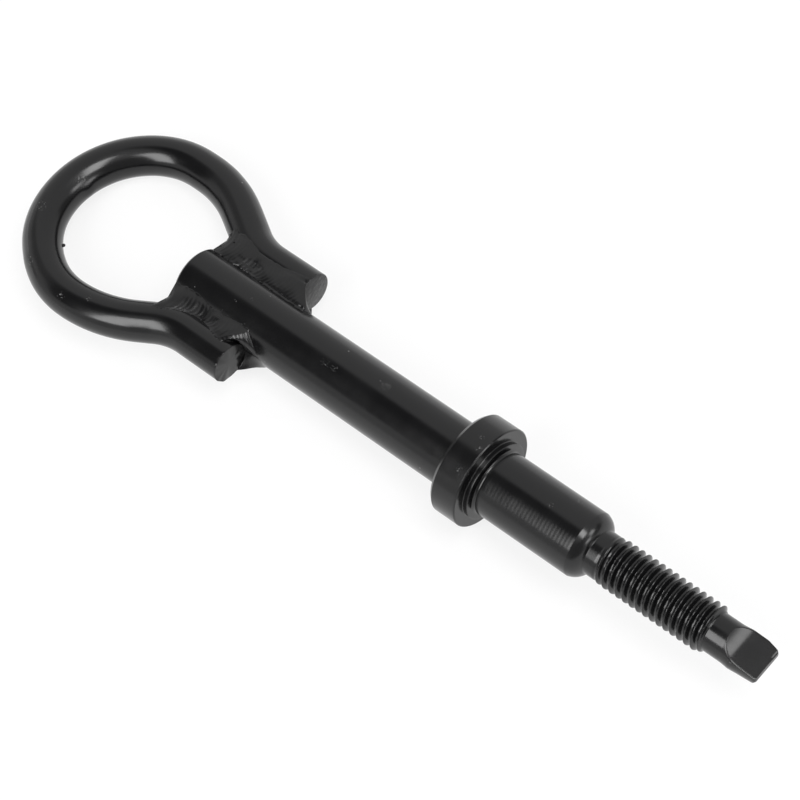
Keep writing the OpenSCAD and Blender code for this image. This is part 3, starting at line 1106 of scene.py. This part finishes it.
def build_floor():
    """White paper just under the part's lowest point.

    The eye gets a soft, shadowed white ground that never shows an edge, and the coating gets a
    bright lower half to mirror.
    """
    normal = Vector(FLOOR_NORMAL).normalized()
    low = min(
        (o.data.vertices[i].co @ normal)
        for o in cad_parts.values()
        for i in range(len(o.data.vertices))
    )
    centre = normal * (low - FLOOR_GAP)
    turn = normal.to_track_quat("Z", "Y").to_matrix()
    square = ((-1, -1), (1, -1), (1, 1), (-1, 1))
    corners = [centre + turn @ Vector((sx * FLOOR_HALF, sy * FLOOR_HALF, 0)) for sx, sy in square]
    mesh = bpy.data.meshes.new("floor")
    mesh.from_pydata(corners, [], [(0, 1, 2, 3)])
    floor = bpy.data.objects.new("floor", mesh)
    bpy.context.scene.collection.objects.link(floor)
    material = bpy.data.materials.new("white_paper_floor")
    material.use_nodes = True
    tree = material.node_tree
    shader = tree.nodes["Principled BSDF"]
    shader.inputs["Base Color"].default_value = PAPER
    shader.inputs["Roughness"].default_value = 0.9
    shader.inputs["Specular IOR Level"].default_value = 0.0
    rays = add(tree, "ShaderNodeLightPath").outputs
    camera, glossy, through = (rays[f"Is {kind} Ray"] for kind in ("Camera", "Glossy", "Transmission"))
    seen = calc(tree, "MAXIMUM", calc(tree, "MAXIMUM", camera, glossy), through)
    # Away from the part the paper turns wholly white, so its edge never shows
    place = add(tree, "ShaderNodeTexCoord").outputs["Object"]
    far = add(tree, "ShaderNodeVectorMath", {0: place}, operation="LENGTH").outputs["Value"]
    soft = {"interpolation_type": "SMOOTHSTEP"}
    glowing = mapped(tree, far, GLOW_FROM, GLOW_TO, LEAST_GLOW, 1.0, **soft)
    share = calc(tree, "MULTIPLY", seen, glowing)
    level = add(tree, "ShaderNodeMix", {0: glossy, 2: 1.0, 3: FLOOR_GLOSS_LEVEL}).outputs[0]
    glow = add(tree, "ShaderNodeEmission", {"Color": (1, 1, 1, 1), "Strength": level}).outputs[0]
    mixed = add(tree, "ShaderNodeMixShader", {0: share, 1: shader.outputs[0], 2: glow}).outputs[0]
    tree.links.new(mixed, tree.nodes["Material Output"].inputs["Surface"])
    mesh.materials.append(material)


def card_axes(centre, angle):
    """Direction of a card on the sky, with the directions of its length and its width."""
    away, round_about = math.radians(math.hypot(*centre)), math.atan2(centre[1], centre[0])
    c, s = math.cos(round_about), math.sin(round_about)
    towards = Vector((math.sin(away) * c, math.sin(away) * s, math.cos(away)))
    down = Vector((math.cos(away) * c, math.cos(away) * s, -math.sin(away)))
    lean = math.radians(angle) - round_about
    length = down * math.cos(lean) + Vector((-s, c, 0)) * math.sin(lean)
    return towards, length, towards.cross(length)


def build_world(scene):
    """White tent with its flags and cards, mirrored by the coating; the camera sees plain white."""
    world = bpy.data.worlds.new("studio")
    scene.world = world
    world.use_nodes = True
    tree = world.node_tree
    background = tree.nodes["Background"]
    way = add(tree, "ShaderNodeTexCoord").outputs["Generated"]

    def dot(axis):
        inputs = {0: way, 1: axis}
        return add(tree, "ShaderNodeVectorMath", inputs, operation="DOT_PRODUCT").outputs["Value"]

    def inside(ahead, axis, half, soft):
        slope = calc(tree, "ABSOLUTE", calc(tree, "DIVIDE", dot(axis), ahead))
        near, far = (math.tan(math.radians(half + edge)) for edge in (-soft, soft))
        return mapped(tree, slope, far, near, interpolation_type="SMOOTHSTEP")

    level = TENT_LEVEL
    for centre, half_width, half_length, angle, soft, value in CARDS:
        towards, length, width = card_axes(centre, angle)
        ahead = calc(tree, "MAXIMUM", dot(towards), 0.05)
        along = inside(ahead, length, half_length, soft)
        across = inside(ahead, width, half_width, soft)
        share = calc(tree, "MULTIPLY", along, across)
        level = add(tree, "ShaderNodeMix", {0: share, 2: level, 3: value}).outputs[0]
    rays = add(tree, "ShaderNodeLightPath").outputs
    direct = calc(tree, "MAXIMUM", rays["Is Camera Ray"], rays["Is Transmission Ray"])
    level = add(tree, "ShaderNodeMix", {0: direct, 2: level, 3: 1.0}).outputs[0]
    tree.links.new(level, background.inputs["Strength"])
    background.inputs["Color"].default_value = (1, 1, 1, 1)


def build_softbox(name, azimuth, elevation, half, radiance):
    """A rectangular softbox that faces the part's middle."""
    a, e = math.radians(azimuth), math.radians(elevation)
    towards = Vector((math.cos(e) * math.cos(a), math.cos(e) * math.sin(a), math.sin(e)))
    lamp = bpy.data.lights.new(name, "AREA")
    lamp.shape = "RECTANGLE"
    lamp.size, lamp.size_y = (2 * LIGHT_DISTANCE * math.tan(math.radians(h)) for h in half)
    lamp.energy = radiance * math.pi * lamp.size * lamp.size_y
    box = bpy.data.objects.new(name, lamp)
    bpy.context.scene.collection.objects.link(box)
    box.location = Vector(VIEW_TARGET) + towards * LIGHT_DISTANCE
    box.rotation_euler = towards.to_track_quat("Z", "Y").to_euler()


def build_camera(scene):
    """Camera at the photograph's place, turned by azimuth, elevation and roll."""
    a, e = math.radians(VIEW_AZIMUTH), math.radians(VIEW_ELEVATION)
    back = Vector((math.sin(a) * math.cos(e), -math.cos(a) * math.cos(e), math.sin(e)))
    right = Vector((0, 0, 1)).cross(back).normalized()
    level = Matrix((right, back.cross(right), back)).transposed()
    lens = bpy.data.cameras.new("camera")
    lens.lens = VIEW_LENS
    lens.sensor_width = SENSOR_WIDTH
    camera = bpy.data.objects.new("camera", lens)
    scene.collection.objects.link(camera)
    camera.location = Vector(VIEW_TARGET) + back * VIEW_DISTANCE
    camera.rotation_euler = (level @ Matrix.Rotation(math.radians(VIEW_ROLL), 3, "Z")).to_euler()
    scene.camera = camera


STEPS = (TOWEYE_OT_shank, TOWEYE_OT_eye, TOWEYE_OT_welds, TOWEYE_OT_stage)
CLASSES = (TOWEYE_PG_sizes, TOWEYE_PG_finish) + STEPS + (TOWEYE_PT_panel,)


def register():
    for cls in CLASSES:
        bpy.utils.register_class(cls)
    bpy.types.Scene.tow_eye_sizes = bpy.props.PointerProperty(type=TOWEYE_PG_sizes)
    bpy.types.Scene.tow_eye_finish = bpy.props.PointerProperty(type=TOWEYE_PG_finish)


def unregister():
    del bpy.types.Scene.tow_eye_finish
    del bpy.types.Scene.tow_eye_sizes
    for cls in reversed(CLASSES):
        bpy.utils.unregister_class(cls)


def main():
    register()
    bpy.ops.toweye.stage()
    bpy.ops.toweye.shank()
    bpy.ops.toweye.eye()
    bpy.ops.toweye.welds()


if __name__ == "__main__":
    main()
